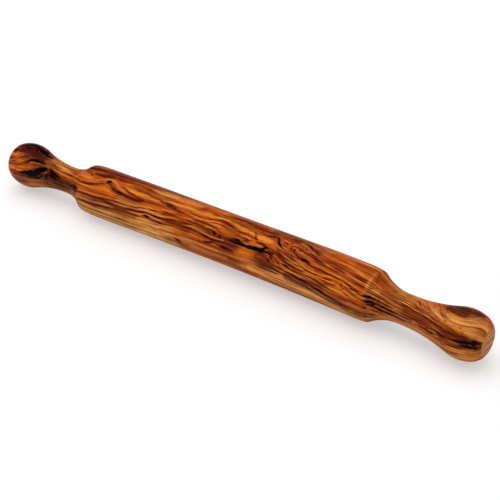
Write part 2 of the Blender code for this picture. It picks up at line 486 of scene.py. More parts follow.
# Barrel's middle: long dark lines that close round a small eye.
BARREL_MIDDLE = """
maroon 1.3: -65,24 -61,27 -56,28 -51,30 -46,31 -41,32 -37,32
maroon 0.8: -58,25 -52,26 -47,28
maroon 0.9: -44,33 -40,33
maroon 0.7: -67,50 -60,48 -54,46 -48,45 -42,43 -37,42
maroon 0.9: -78,63 -74,61 -70,61 -64,63 -58,63 -52,61 -47,58 -42,55
black 0.5: -68,62 -63,63 -57,63
black 1.4: -77,71 -74,70 -71,70 -66,72
black 0.8: -72,72 -66,72 -60,73 -54,73 -48,71 -42,69
brown 0.6: -50,72 -43,73 -36,73
brown 0.8: -70,82 -63,81 -56,79 -49,79
brown 0.6: -53,66 -46,67 -39,66
brown 0.5: -58,53 -50,50 -43,49 -35,47
brown 0.5: -46,53 -41,53 -36,52
brown 0.5: -48,59 -42,59 -37,58
maroon 0.6: -39,26 -33,26 -27,27 -21,28
brown 0.6: -35,35 -29,37 -23,37 -16,35 -11,33
maroon 0.8: -23,11 -18,9 -15,8 -10,8 -5,6 0,6 5,8
maroon 0.7: 5,8 9,10 15,11 21,11 27,13 32,16
maroon 1.0: -15,26 -11,24 -8,22 -5,19 -2,17 2,18 6,20 10,23 15,27
maroon 0.7: 7,22 10,26 15,28 21,28 27,28 32,30
maroon 0.5: -13,33 -8,30 -3,28 3,28 8,30 14,33 20,35
brown 0.5: -11,31 -6,28 -1,28 4,31 8,34 14,35 20,36 26,37
maroon 0.55: -28,41 -21,40 -15,39 -9,39 -4,40 0,42 3,46 6,50
maroon 0.95: -32,45 -27,45 -21,46 -15,46 -10,47 -6,48 -3,51
black 0.5: -12,48 -8,49 -5,50
black 0.8: -36,54 -31,54 -27,52 -24,51
maroon 0.7: -27,53 -20,53 -15,55 -10,56 -5,58 0,59 4,58 6,54 5,50
maroon 0.5: -25,51 -18,51 -12,52 -7,53
black 1.6: -6,49 -2,53 -1,59
black 1.3: 1,50 3,54 2,59
maroon 1.1: 6,55 11,54 16,54 21,55 26,56
black 1.0: 11,54 15,54 19,55 24,56
maroon 0.9: -40,65 -34,64 -28,63 -21,63 -16,63
black 1.2: -20,63 -15,64 -10,65 -5,67 0,67 5,65
maroon 0.9: 4,66 9,64 16,63 23,62
maroon 1.2: -8,77 -5,73 -2,70 2,71 7,73 12,74 18,73 24,71
black 1.0: -11,77 -7,76 -3,72 1,68
black 1.0: 1,72 6,73 12,73 17,73
brown 0.6: -25,69 -17,70 -11,71
brown 0.8: -51,82 -44,82 -37,80 -30,80 -23,82 -15,82 -8,80 1,81 8,82
brown 0.6: -25,91 -14,92 -2,93 9,93 21,92
black 1.6: -41,99 -37,101 -34,105
maroon 1.1: -29,99 -26,102 -25,108
brown 0.7: -69,-16 -61,-17 -53,-15
brown 0.8: -28,2 -25,0
brown 0.8: -24,-3 -20,-4
cream 0.8: -65,21 -57,20 -49,19 -41,17 -33,17
gold 1.5: -33,20 -27,21 -21,19 -16,17 -12,17 -8,14 -2,12 4,14
gold 2.1: 4,14 8,16 14,18 21,20 27,21 31,23
cream 0.5: -37,30 -31,30 -25,31 -19,32
gold 0.7: -16,29 -11,29 -7,26 -2,25 3,27
gold 0.6: 3,24 7,27 11,29 17,30
cream 0.6: -28,43 -21,43 -15,44 -9,43 -5,43 -1,46 2,50
cream 0.35: -35,59 -29,57 -23,58 -16,59 -10,60 -4,61 2,61 8,58
cream 0.6: -76,67 -73,64 -69,66 -63,68 -57,67 -51,64 -46,61
gold 0.8: -78,58 -71,57 -64,58 -57,57 -51,53 -44,50 -38,48
gold 0.7: -69,43 -61,42 -52,41 -44,38
gold 0.9: -73,31 -67,30 -62,31
cream 0.8: -65,88 -57,86
cream 0.8: -61,97 -51,95 -43,93 -35,90 -28,87 -20,85
cream 0.8: -25,86 -17,86 -10,88 -2,88 6,88 11,87
cream 0.5: -7,78 1,78 8,78 17,77
"""
# The black crack-like vein right of the middle, and the gold wood round it.
CRACK = """
maroon 1.0: 4,-4 10,-5 17,-4 23,-2 29,-1 35,0 41,2 47,5
maroon 0.7: 30,14 31,17 33,20
black 0.9: 32,22 33,26 35,31 36,36
black 0.8: 35,34 38,37 42,37 46,39 49,41
black 1.3: 11,51 16,49 20,48 24,50 28,53 33,54
black 2.0: 19,52 24,52 29,53 34,52 39,51 43,49 46,44 47,39
black 1.2: 34,53 39,53 44,52 49,50 55,50
maroon 0.8: 15,49 9,51 5,53
black 0.6: 24,42 27,43 29,41 28,38 25,37
maroon 0.5: 16,40 21,39 25,40
maroon 0.5: 17,44 23,45 28,46 31,42 31,38
cream 0.5: 19,33 24,33 28,35 31,38 32,42
cream 0.5: 20,37 24,38
maroon 1.1: 38,13 42,14 46,11 50,8
black 0.8: 42,12 46,10 51,8
black 1.3: 50,7 53,12 54,17 56,23 59,29
gold 3.4: 36,23 40,24 45,25 49,25
gold 1.4: 36,43 40,43 44,41
cream 0.5: 45,45 49,47 53,49
gold 0.9: 7,1 13,2 20,4 27,5 34,7
gold 1.0: 35,4 42,5 49,4
brown 0.5: 40,57 40,65 40,72 42,81
maroon 0.9: 41,83 47,86 54,86 61,86 68,85 75,86
black 0.8: 45,77 51,78 57,78 63,80 69,81 76,82
cream 0.6: 51,59 54,64 57,70 61,74 67,76 73,76
gold 1.2: 23,69 29,70 35,69
"""
# Barrel's right third: fine dark lines that slope down past two small knots.
BARREL_RIGHT = """
black 0.8: 56,40 59,42 61,44 64,45
maroon 0.6: 48,43 51,45 54,45 57,46 61,47 65,48 69,50 73,51 77,53 82,53
maroon 0.6: 49,38 53,40 56,40
maroon 0.6: 55,34 58,37 61,39 65,40 67,42 70,44 74,46 78,48 81,50 84,53
maroon 0.9: 79,49 83,52 86,55 89,56 92,57 95,58 98,59 101,61
maroon 0.6: 100,60 104,62 107,64 110,64 114,63 116,61 117,58 116,55
maroon 0.4: 58,29 61,31 64,33 67,36 70,39 73,41
maroon 0.6: 60,50 63,52 66,54 69,57 73,58 77,60 81,61 85,61
maroon 0.6: 58,58 60,61 63,64 64,67
black 0.5: 66,61 69,63 72,65
maroon 0.6: 70,65 74,66 77,67 82,68 88,68
maroon 0.6: 57,65 60,68 64,70 68,72 72,74
black 0.7: 71,74 75,75 79,76 83,78 87,79 91,81 95,83
black 0.9: 93,82 97,84 101,86 105,88 109,90 114,92 118,94
maroon 0.9: 116,94 120,96 124,98 128,100 133,103 138,106 143,109
black 0.6: 120,96 126,99
maroon 1.0: 52,53 54,56 56,59
black 0.9: 52,64 53,69
maroon 0.9: 73,83 78,87 84,90 89,90
black 0.8: 90,90 94,93 98,95 102,97
maroon 0.7: 101,97 106,99 111,103 118,106
maroon 0.5: 88,68 91,66 95,67 99,68 103,71 107,73 112,75 118,76 124,78
brown 0.5: 91,73 95,75 100,78 105,80
maroon 0.8: 59,12 61,15 63,18
brown 0.5: 57,18 60,21 62,23
maroon 0.8: 64,8 66,9
maroon 0.6: 67,4 71,4 74,7 76,11
maroon 0.7: 67,17 67,22 68,27
black 0.6: 70,23 71,25
brown 0.6: 71,13 72,16
maroon 0.6: 74,20 77,19
black 0.8: 78,11 80,12
maroon 1.0: 69,29 72,30 75,33 78,36
black 0.8: 77,36 80,37 84,38 87,40 89,42
maroon 0.8: 87,41 91,43 95,44 100,44 105,46 110,45 116,47 121,47
maroon 0.7: 120,47 124,50 127,52 129,55 132,58
black 0.6: 128,55 131,57 135,58 138,60 142,61
maroon 1.2: 74,-8 78,-3 82,2 85,6
black 0.6: 80,-1 82,3 84,6
maroon 0.9: 83,5 87,10 91,15 95,19
maroon 0.6: 94,18 98,21 102,24 106,26 110,29 116,31 120,33 125,35
maroon 0.6: 123,34 127,37 131,39 135,42 140,43
maroon 0.5: 83,14 87,19 91,23 95,27 99,30 103,32 108,34 115,37
maroon 0.4: 79,18 83,21 87,24 91,27 95,30 100,33 105,36 110,39
brown 0.5: 89,29 93,32 97,35 102,37
brown 0.5: 93,9 98,12 104,14
brown 0.5: 105,16 112,17 119,19 126,22 132,24
brown 0.5: 111,11 117,14 121,18
brown 0.6: 128,14 132,16 136,17 140,18
brown 0.5: 124,28 129,30 134,32
brown 0.5: 112,40 119,41 125,44 131,48 137,51
maroon 0.6: 104,56 108,56 112,55
black 0.9: 120,55 120,61
black 0.9: 123,62 124,65
maroon 0.8: 124,67 127,71 130,75 133,77
maroon 0.9: 124,58 127,61 130,64 133,66 137,66 141,69
maroon 0.8: 128,80 133,81 138,83 142,81
cream 0.7: 53,8 54,12 55,17 57,22 61,27 65,31 69,35 73,39
gold 0.9: 72,37 76,41 81,43 86,45 91,48 97,49
gold 1.0: 88,50 93,51 98,51
cream 0.5: 57,30 60,33 64,35 67,38 70,40
cream 0.7: 63,22 64,17 66,13 69,10 73,10
gold 0.9: 56,8 59,9 61,11
cream 0.6: 51,58 53,62 55,65 57,69 60,72 64,74 68,76 73,77
cream 0.5: 64,64 67,66 70,68 74,70 79,72 85,73
cream 0.5: 67,59 70,61 74,63 79,65 84,65
cream 0.4: 67,53 71,55 76,56 83,57
cream 0.4: 58,56 61,59 64,61
cream 0.6: 69,-1 73,2 77,5 80,7 83,11 87,15 91,19 95,24 100,27 105,30 111,32
gold 0.8: 77,16 81,18 85,21
gold 0.8: 73,25 77,25 81,29 86,32 91,36 96,38
gold 0.7: 88,61 93,62 98,64 103,67 109,69 116,71 123,74
cream 0.5: 90,70 95,72 101,74 107,77 115,79 122,81
gold 1.1: 103,51 108,50 115,50
gold 0.5: 106,59 110,60 115,58
cream 0.6: 121,52 124,56 127,59 130,61 134,62 138,64 142,65
cream 0.6: 124,63 127,67 130,70 134,72 140,75
cream 0.4: 121,66 122,63
gold 1.0: 128,87 134,86 139,88 143,93
"""
# Right shoulder and neck: black lines cross the crease and fade along the neck.
RIGHT_NECK = """
black 1.2: 140,60 143,60 146,59 150,59
maroon 0.8: 148,59 152,61 156,63 160,66 165,67
black 0.6: 152,59 153,57
black 1.2: 141,69 144,70 148,69 152,70
black 1.0: 145,78 148,76 150,72
black 0.9: 152,70 156,74 160,77 164,80 168,80
maroon 0.7: 166,80 171,81 176,82 182,82
black 0.9: 148,79 152,82 156,86 160,89 165,92
maroon 0.9: 163,91 168,93 172,96 177,97
maroon 0.9: 142,83 145,88
maroon 0.6: 148,89 152,93 156,97
maroon 0.8: 166,69 171,71 176,72 181,74 188,76 194,76
brown 0.5: 158,55 168,59 178,62 189,65 198,69
brown 0.5: 174,50 182,54 191,58 199,63 207,66
brown 0.5: 168,88 178,89 186,90 193,89
maroon 0.5: 168,36 171,39
maroon 0.6: 170,40 175,41 179,45 184,47 190,50 195,54 201,57 207,59
brown 0.8: 147,29 153,28 159,30 166,33
brown 1.1: 156,4 159,7 163,5
brown 0.7: 144,7 145,13 146,19
brown 0.5: 142,42 145,37 147,32
brown 0.4: 150,37 158,40 165,44 172,47
brown 0.4: 150,19 159,21 168,24 176,29 184,35 192,39 197,43
maroon 0.9: 143,103 147,105 151,108 155,112
black 0.9: 143,111 145,113
cream 0.7: 142,64 146,64 150,65 154,67
cream 0.45: 170,33 175,34 180,38 185,41 191,45 197,49
cream 0.5: 170,76 175,78 180,80 186,80
gold 0.8: 145,94 149,98 153,103 156,107
cream 0.5: 150,86 153,89 156,93
cream 0.5: 144,54 149,55
gold 1.4: 163,2 171,4 179,4
"""
# Right knob: arcs close round a plum patch on top, and a black vein meets the flat.
RIGHT_KNOB = """
black 0.9: 195,77 200,76 205,76 210,77 215,76 222,75
black 1.7: 218,76 224,74 229,72 233,69 238,65 243,62
black 1.5: 225,79 231,79 237,80
black 1.5: 234,70 236,74 237,79 238,84
maroon 0.9: 189,90 194,88 199,88 204,87
black 0.5: 197,88 202,87
maroon 0.6: 203,95 207,92 211,88
maroon 0.8: 214,91 220,89 225,87 229,85 234,82
maroon 0.7: 205,58 210,61 215,63 222,63 228,61
brown 0.7: 198,-11 199,1 200,10 202,20 205,30 208,38 212,43 220,45
brown 0.5: 191,-12 192,2 195,18 198,30 202,40 206,47 211,51 219,54
brown 0.5: 183,10 186,19 191,28 195,38 200,45 205,51 212,56
brown 0.6: 202,45 206,48 210,50 214,55
brown 0.8: 222,44 224,44
brown 0.8: 225,52 227,54
maroon 0.8: 205,-11 206,-1 209,8 213,14 219,18 223,15 227,9 231,-1
brown 0.8: 221,108 225,104
brown 0.6: 229,98 233,101 237,107
gold 2.0: 207,21 211,28 216,32 223,32 227,27
cream 0.6: 201,-14 202,-2 204,9 207,20 210,28
cream 0.6: 232,-7 231,6 229,15 226,21
cream 0.4: 204,41 209,45 215,47
cream 0.5: 196,83 201,81 206,81
gold 1.3: 215,99 221,97 227,94 232,92
cream 0.5: 213,83 219,81 226,80
"""
# More dark lines: on the left knob's cap and along the left neck's underside.
LEFT_UNDERSIDE = """
black 2.2: -219,-10 -211,-9 -204,-6 -196,-5
black 1.0: -192,62 -187,70 -182,75 -176,78 -169,80 -161,79
maroon 0.9: -190,74 -184,81 -176,85 -168,86 -160,84
black 0.7: -189,90 -181,94 -172,95 -163,92
maroon 0.7: -187,102 -178,105 -168,104 -158,100
cream 0.5: -188,70 -182,78 -175,81 -167,83
"""
MARKS = LEFT_KNOB + LEFT_NECK + BARREL_LEFT + BARREL_MIDDLE + CRACK
MARKS += BARREL_RIGHT + RIGHT_NECK + RIGHT_KNOB + LEFT_UNDERSIDE
# Soft patches of other wood, and a few of painted light named below. A line is one patch:
# its tone, its half width, how strongly it shows, then the places it passes. In busy wood
# the fine lines are stronger.
# The dark patch near the top, from 126 to 170 mm right of the middle, paints shade over the right
# shoulder's upper cove.
# The pale patches low on the underside, from about 103 degrees round, are partly paler sapwood and partly
# painted light thrown up from the table.
# The tan patch from -71 to -59 mm and the pale patches near the top from -67 to 97 mm are partly paler
# wood and partly a painted highlight along the top.
# The thin tan and pale patches at 141 mm right of the middle paint a highlight along the right shoulder's
# crease.
PATCHES = """
plum 5.0 1.3: -231,-12 -220,-11 -203,-12
plum 4.0 1.3: -228,4 -219,7 -208,3
plum 3.0 0.8: -224,18 -212,15 -203,7
plum 5.5 0.8: -199,75 -186,74 -175,76
plum 4.6 0.8: -177,74 -166,76 -156,76
plum 4.0 0.5: -173,90 -160,98 -152,104
plum 4.5 0.3: -148,-12 -122,-12 -96,-12
plum 2.4 0.6: -144,0 -132,0
plum 2.0 0.7: -136,14 -128,11 -121,9
plum 1.8 0.6: -112,38 -102,42 -90,44 -80,42
plum 4.2 0.35: -148,78 -130,78 -110,74 -85,71
plum 2.6 0.4: -67,-17 -53,-17
plum 2.4 0.4: -47,60 -39,62 -29,68
plum 1.5 0.4: -9,52 -6,53
plum 1.5 0.5: 1,54 4,55
plum 3.0 0.4: 4,60 21,61
plum 2.6 0.5: 6,94 24,94
plum 4.4 0.7: 43,62 47,70 53,72
plum 4.0 0.5: 47,-10 72,-6 89,3
plum 2.8 0.8: 72,84 80,86 90,88
plum 2.2 0.6: 92,89 103,92 116,98 128,103
plum 6.0 0.25: -31,108 0,106 24,106
plum 3.6 0.4: 156,77 163,85 170,89
plum 2.4 0.8: 139,105 144,108 148,113
plum 4.6 1.5: 210,-8 219,0 228,-6
plum 2.6 0.5: 176,54 190,59 202,64 214,67
plum 1.8 0.5: 214,60 221,62 229,62
orange 2.6 0.9: -230,42 -222,39
orange 1.7 0.9: -210,48 -209,58
orange 3.4 0.7: -182,50 -168,52 -152,54
orange 3.2 0.7: -146,34 -139,34
orange 4.0 0.6: -145,55 -128,52 -112,50
orange 2.6 0.5: -53,0 -41,1 -31,0
orange 1.2 0.8: 32,46 34,41 35,38
orange 3.0 0.9: 25,64 31,62 37,63
orange 3.0 0.7: 24,74 31,74
orange 4.0 0.4: 97,1 118,3 137,5
tan 9.0 0.7: -148,112 -100,112 -51,112
tan 5.0 0.6: -71,-3 -59,-3
tan 8.0 0.6: 53,111 97,114 140,120
tan 5.0 0.3: 25,96 39,92 53,97
tan 5.0 0.6: -228,108 -197,108
tan 6.0 0.5: -200,9 -186,6 -170,-2
tan 6.0 0.45: 166,12 178,18 191,26 206,30 220,36
tan 4.0 0.5: 148,41 158,47 168,52
tan 5.0 0.6: 231,39 237,47
tan 1.2 0.4: 141,0 141,20 141,39 141,49
tan 5.0 0.4: 158,112 183,112 209,113 235,107
busy 5.0 1.0: -146,77 -122,76 -98,72 -77,68
busy 5.0 0.8: 57,47 77,59 97,65 123,73
busy 6.0 0.8: 79,13 97,27 118,37 138,43
busy 5.0 0.8: 158,80 178,76 199,73
busy 5.0 0.9: 152,44 170,52 188,60 206,66
busy 4.0 1.0: -196,74 -182,82 -166,84 -154,84
busy 4.0 0.7: -61,54 -31,50 -2,46
dark 3.6 0.35: -148,0 -134,-3 -118,-6 -100,-12 -82,-14 -67,-20
dark 1.6 0.6: 13,-9 23,-8 37,-4
dark 3.0 0.55: 8,12 20,9 32,5 46,3
dark 4.6 0.25: -34,52 -18,54 -4,53 10,50 22,47
dark 3.4 0.4: 126,0 138,3 148,5 158,4 170,6
dark 3.0 0.45: 210,78 220,80 230,78
dark 2.5 0.35: -47,104 -39,104 -31,106
dark 3.0 0.35: -2,106 11,102 23,104
dark 4.5 0.95: -226,4 -218,6 -210,13 -204,27
dark 3.0 0.6: -224,30 -214,41 -206,47 -200,45
dark 3.5 0.7: -224,94 -214,97 -204,101 -194,105
dark 2.2 0.8: -196,77 -180,78 -166,76 -152,72
dark 3.0 0.7: -190,119 -180,120 -170,116
dark 2.5 0.4: -204,19 -194,21 -184,24
dark 2.2 0.8: 146,69 151,71
dark 2.4 1.0: 230,70 235,74 238,78
dark 2.0 0.3: 195,105 209,109 224,108
dark 2.5 0.4: 112,103 126,106 138,109
dark 1.6 0.5: 229,62 236,60
pale 3.0 0.4: -67,0 -55,-2 -41,-2 -31,-2
pale 1.6 0.25: 41,-12 51,-10 61,-8
pale 1.8 0.4: 73,-3 97,-5
pale 2.6 0.45: -124,96 -112,97 -98,96
pale 5.0 0.4: -206,112 -190,118 -176,114
pale 5.0 0.9: -166,112 -150,114 -130,120 -108,121 -84,120 -60,118
pale 5.0 0.25: -56,114 -38,116 -20,116 0,119 24,121
pale 3.6 0.4: 126,116 140,116 156,116 172,112 190,113 206,110
pale 3.0 0.6: -102,57 -90,58 -76,60 -60,60
pale 3.0 0.4: 66,55 80,59 92,61
pale 2.6 0.5: -32,94 -18,97 -4,98 10,100
pale 3.0 0.3: 198,22 208,32 220,36 230,30
pale 3.4 0.75: 37,103 57,103 77,105 97,108 112,114 122,119
pale 1.1 0.22: 141,-2 141,20 141,50
pale 1.0 0.45: 141,24 141,34 141,44
pale 2.0 0.35: 154,-7 160,-4 166,-6
pale 3.0 0.8: 228,13 234,9 238,5
pale 2.2 0.5: 166,62 176,76 184,86
"""
# Bundles of fine lines that fill the stretch between two guides, where the photo shows
# only their run. Two lines are one bundle: its tone, its lines' half width, how many
# there are and the first guide, then the last guide.
BUNDLES = """
maroon 0.5 7: -186,66 -178,70 -170,72 -162,72 -156,71 -150,70
last: -186,100 -178,100 -170,100 -162,100 -156,98 -150,96
maroon 0.5 6: -148,-14 -132,-18 -116,-20 -100,-21 -84,-22 -71,-22
last: -148,6 -132,4 -116,3 -100,1 -84,0 -71,2
brown 0.5 5: -29,-14 -12,-12 6,-14 21,-14 39,-12 57,-13
last: -29,4 -12,3 6,-2 21,0 39,3 57,3
brown 0.4 6: -148,98 -130,100 -112,98 -96,97 -79,96 -61,98
last: -148,126 -130,128 -112,128 -96,128 -79,126 -61,124
brown 0.4 4: 27,96 47,98 67,98 87,101 107,107 126,113
last: 27,122 47,124 67,123 87,125 107,127 126,129
brown 0.3 6: 89,-7 101,-1 111,3 122,6 132,8 140,9
last: 95,11 105,19 114,24 123,28 132,32 140,35
brown 0.45 4: 199,97 207,95 215,93 224,92 232,93 238,97
last: 199,113 207,113 215,113 224,113 232,113 238,113
"""
# How a bundle's lines stray from their lanes, and the stretch and width that each takes.
BUNDLE_SEED = 5
BUNDLE_WANDER = 0.4
BUNDLE_LANE_SHARES = (0.1, 0.9)
BUNDLE_START_SHARES = (0, 0.35)
BUNDLE_STOP_SHARES = (0.65, 1)
BUNDLE_WIDTH_SHARES = (0.7, 1.2)
BUNDLE_STRIDE = 8
# Veins for the side that the photo doesn't show: the odds of each tone, the ranges that
# each vein is drawn from, and the slow drifts that all of them follow.
HIDDEN_SEED = 11
HIDDEN_VEINS = 90
HIDDEN_TONES = {"black": 0.15, "maroon": 0.4, "brown": 0.3, "cream": 0.15}
HIDDEN_STARTS = (-250, 200)
HIDDEN_LENGTHS = (40, 150)
HIDDEN_ROUND = (150, 318)
HIDDEN_SLOPES = (-0.05, 0.05)
HIDDEN_WIDTHS = (0.4, 1.1)
HIDDEN_ENDS = 236
HIDDEN_STEP = 7.0
HIDDEN_JITTER = 0.5
DRIFTS = 4
DRIFT_SIZES = (3, 8)
DRIFT_RATES = (0.008, 0.03)
DRIFT_PHASES = (0, 6)
DRIFT_ROUND = 40
# How a line is stepped, tapered and swelled, and how its depth and a patch's are taken.
SEAM_DEGREES = -60
LINE_STEP = 0.8
TAPER_LENGTH = 14.0
TAPER_SHARE = 0.42
TAPER_POWER = 0.7
THIN_SHARE = 0.12
SLIMMING = 0.85
SWELL_SHARE = 0.1
SWELL_RATES = (0.25, 0.9)
SWELLS = 3
FARTHEST = 4.0
EDGE_ROUNDING = 0.35
PATCH_FLOOR_SHARE = 2
PATCH_RISE_SHARE = 1.5
# The chart of the surface, in millimetres along and cells round, and the grain's run on it.
CHART_ENDS = (-241, 241.5)
CHART_ALONG = 0.6
CHART_ROUND = 480
CHART_INSIDE = 1.001
LEAST_RADIUS = 4.0
FLOW_BLOCK = 6
FLOW_REACH = 4.0
FLOW_LIMIT = 12.0
FLOW_STRIDE = 2
FLOW_STEADY = 0.25
FLOW_LEAST = 5.5
TINY = 1e-9
HALF_CELL = 0.5
STREAK_SEED = 7
# Smeared specks: their name, how often they are softened, how far they are smeared each
# way in millimetres, and how many cells at a time.
SMEARS = (
    ("fine", 3, 24.0, 1),
    ("middle", 14, 36.0, 2),
    ("broad", 90, 40.0, 3),
)
STEEPEST = 1.2
GRAIN_RADIUS = 22.0
GRAIN_EASE = 0.05

MM = 1000.0
corners = np.zeros(len(mesh.vertices) * 3)
mesh.vertices.foreach_get("co", corners)
corners = corners.reshape(-1, 3)
along = corners[:, 0] * MM
across = -corners[:, 1] * MM
upwards = (corners[:, 2] - AXIS_HEIGHT) * MM
radius = np.hypot(across, upwards)
degrees = np.degrees(np.arctan2(across, upwards))
degrees = np.where(degrees < SEAM_DEGREES, degrees + 360, degrees)
profile_along = outline[1:-1, 0] * MM
profile_radius = outline[1:-1, 1] * MM


def radius_at(x):
    return np.interp(x, profile_along, profile_radius)


def read_off(text):
    """The lines of a text, each as its words and its places."""
    rows = []
    for line in filter(None, text.splitlines()):
        words, places = line.split(": ")
        rows.append((words.split(), np.array([place.split(",") for place in places.split()], float)))
    return rows


def threaded(places):
    """A smooth line through the places, in even small steps."""
    places = np.array(places, float)
    ends = 2 * places[0] - places[1], 2 * places[-1] - places[-2]
    knots = np.vstack([ends[0], places, ends[1]])
    line = []
    for before, start, end, after in zip(knots, knots[1:], knots[2:], knots[3:]):
        span = np.hypot(end[0] - start[0], np.radians(end[1] - start[1]) * radius_at(start[0]))
        share = np.linspace(0, 1, max(2, int(span / LINE_STEP) + 1), endpoint=False)[:, None]
        bend = 2 * before - 5 * start + 4 * end - after
        twist = 3 * start - before - 3 * end + after
        line.append((2 * start + (end - before) * share + bend * share**2 + twist * share**3) / 2)
    line.append(places[-1:])
    return np.vstack(line)


def steps_of(line):
    """Each step of a line in millimetres, as (along, round)."""
    step = np.diff(line, axis=0)
    return np.stack([step[:, 0], np.radians(step[:, 1]) * radius_at(line[:-1, 0])], 1)


def inside(line, half_widths, best, margin=FARTHEST):
    """Raise best to how far inside the line's width each vertex lies, in millimetres."""
    reach = margin + half_widths.max()
    slack = np.degrees(reach / radius_at(line[:, 0]).min())
    near = (along > line[:, 0].min() - reach) & (along < line[:, 0].max() + reach)
    near &= (degrees > line[:, 1].min() - slack) & (degrees < line[:, 1].max() + slack)
    near = np.flatnonzero(near)
    scale = np.radians(1) * radius[near, None]
    from_x = along[near, None] - line[None, :-1, 0]
    from_y = (degrees[near, None] - line[None, :-1, 1]) * scale
    run_x = np.diff(line[:, 0])[None]
    run_y = np.diff(line[:, 1])[None] * scale
    share = (from_x * run_x + from_y * run_y) / (run_x**2 + run_y**2 + TINY)
    share = np.clip(share, 0, 1)
    away = np.hypot(from_x - share * run_x, from_y - share * run_y)
    width = half_widths[None, :-1] + share * np.diff(half_widths)[None]
    depth = np.hypot(width, EDGE_ROUNDING) - np.hypot(away, EDGE_ROUNDING)
    best[near] = np.maximum(best[near], depth.max(1))


def swelling(line, half_width, chance):
    """Half widths along a vein: tapered at both ends, uneven on the way."""
    gone = np.append(0, np.cumsum(np.hypot(*steps_of(line).T)))
    to_end = np.minimum(gone, gone[-1] - gone)
    taper = np.clip(to_end / min(TAPER_LENGTH, gone[-1] * TAPER_SHARE), 0, 1) ** TAPER_POWER
    swells = sum(
        np.sin(gone * chance.uniform(*SWELL_RATES) + chance.uniform(0, math.tau))
        for _ in range(SWELLS)
    )
    return half_width * (THIN_SHARE + (1 - THIN_SHARE) * taper) * (1 + SWELL_SHARE * swells)


def bundled():
    """The bundles' lines, each on its own stretch of the way and wandering a little."""
    chance = np.random.default_rng(BUNDLE_SEED)
    veins = []
    rows = read_off(BUNDLES)
    for ((tone, half_width, count), first), (_, last) in zip(rows[::2], rows[1::2]):
        for lane in range(int(count)):
            share = (lane + chance.uniform(*BUNDLE_LANE_SHARES)) / int(count)
            places = first * (1 - share) + last * share
            places[:, 1] += chance.normal(0, BUNDLE_WANDER, len(places))
            line = threaded(places)
            start = int(len(line) * chance.uniform(*BUNDLE_START_SHARES))
            stop = int(len(line) * chance.uniform(*BUNDLE_STOP_SHARES))
            width = float(half_width) * chance.uniform(*BUNDLE_WIDTH_SHARES)
            veins.append((tone, width, line[start:stop:BUNDLE_STRIDE]))
    return veins


def hidden_veins():
    """Veins for the side that the photo doesn't show: long, gently wandering lines."""
    chance = np.random.default_rng(HIDDEN_SEED)
    drifts = [
        (chance.uniform(*DRIFT_SIZES), chance.uniform(*DRIFT_RATES), chance.uniform(*DRIFT_PHASES))
        for _ in range(DRIFTS)
    ]
    tones = list(HIDDEN_TONES)
    odds = list(HIDDEN_TONES.values())
    veins = []
    for _ in range(HIDDEN_VEINS):
        start = chance.uniform(*HIDDEN_STARTS)
        length = chance.uniform(*HIDDEN_LENGTHS)
        base = chance.uniform(*HIDDEN_ROUND)
        slope = chance.uniform(*HIDDEN_SLOPES)
        places = []
        for x in np.arange(max(start, -HIDDEN_ENDS), min(start + length, HIDDEN_ENDS), HIDDEN_STEP):
            drift = sum(
                size * math.sin(x * rate + base / DRIFT_ROUND + phase) for size, rate, phase in drifts
            )
            jitter = chance.normal() * HIDDEN_JITTER
            places.append((x, base + drift + slope * (x - start) + jitter))
        tone = str(chance.choice(tones, p=odds))
        if len(places) > 2:
            veins.append((tone, chance.uniform(*HIDDEN_WIDTHS), places))
    return veins


chance = np.random.default_rng(STREAK_SEED)
fields = {tone: np.full(len(along), -FARTHEST) for tone in ("black", "maroon", "brown", "gold", "cream")}
fields.update({tone: np.zeros(len(along)) for tone in ("plum", "orange", "tan", "dark", "pale", "busy")})
flow_lines = []
drawn = [(tone, float(half_width), places) for (tone, half_width), places in read_off(MARKS)]
for tone, half_width, places in (*drawn, *bundled(), *hidden_veins()):
    line = threaded(places)
    inside(line, swelling(line, half_width * SLIMMING, chance), fields[tone])
    if np.ptp(line[:, 0]) > FLOW_LEAST:
        flow_lines.append(line)
for (tone, *sizes), places in read_off(PATCHES):
    half_width, strength = map(float, sizes)
    line = threaded(places)
    depth = np.full(len(along), -PATCH_FLOOR_SHARE * half_width)
    inside(line, np.full(len(line), half_width), depth, half_width)
    share = np.clip((depth + half_width) / (PATCH_RISE_SHARE * half_width), 0, 1)
    fields[tone] = np.maximum(fields[tone], share * share * (3 - 2 * share) * strength)

# The grain's run: on a chart of the surface, each cell takes the direction of the veins
# near it. Scattered specks smeared along that run make the streaks between the veins.
chart_x = np.arange(*CHART_ENDS, CHART_ALONG)
chart_radius = np.maximum(radius_at(chart_x), LEAST_RADIUS)
cell_degrees = 360 / CHART_ROUND
blocks_x = chart_x[::FLOW_BLOCK]
blocks_round = np.arange(0, CHART_ROUND, FLOW_BLOCK) * cell_degrees
doubled = np.zeros((2, len(blocks_x), len(blocks_round)))
doubled[0] = FLOW_STEADY
for line in flow_lines:
    step = steps_of(line)
    length = np.hypot(*step.T)
    turn = 2 * np.arctan2(step[:, 1], step[:, 0])
    for (x, where), size, angle in zip(line[:-1:FLOW_STRIDE], length[::FLOW_STRIDE], turn[::FLOW_STRIDE]):
        window = np.abs(blocks_x - x) < FLOW_LIMIT
        gap = (blocks_round - where + 180) % 360 - 180
        gap = np.radians(gap)[None, :] * radius_at(x)
        weight = np.exp(-((blocks_x[window] - x)[:, None] ** 2 + gap**2) / FLOW_REACH**2) * size
        doubled[0][window] += weight * math.cos(angle)
        doubled[1][window] += weight * math.sin(angle)


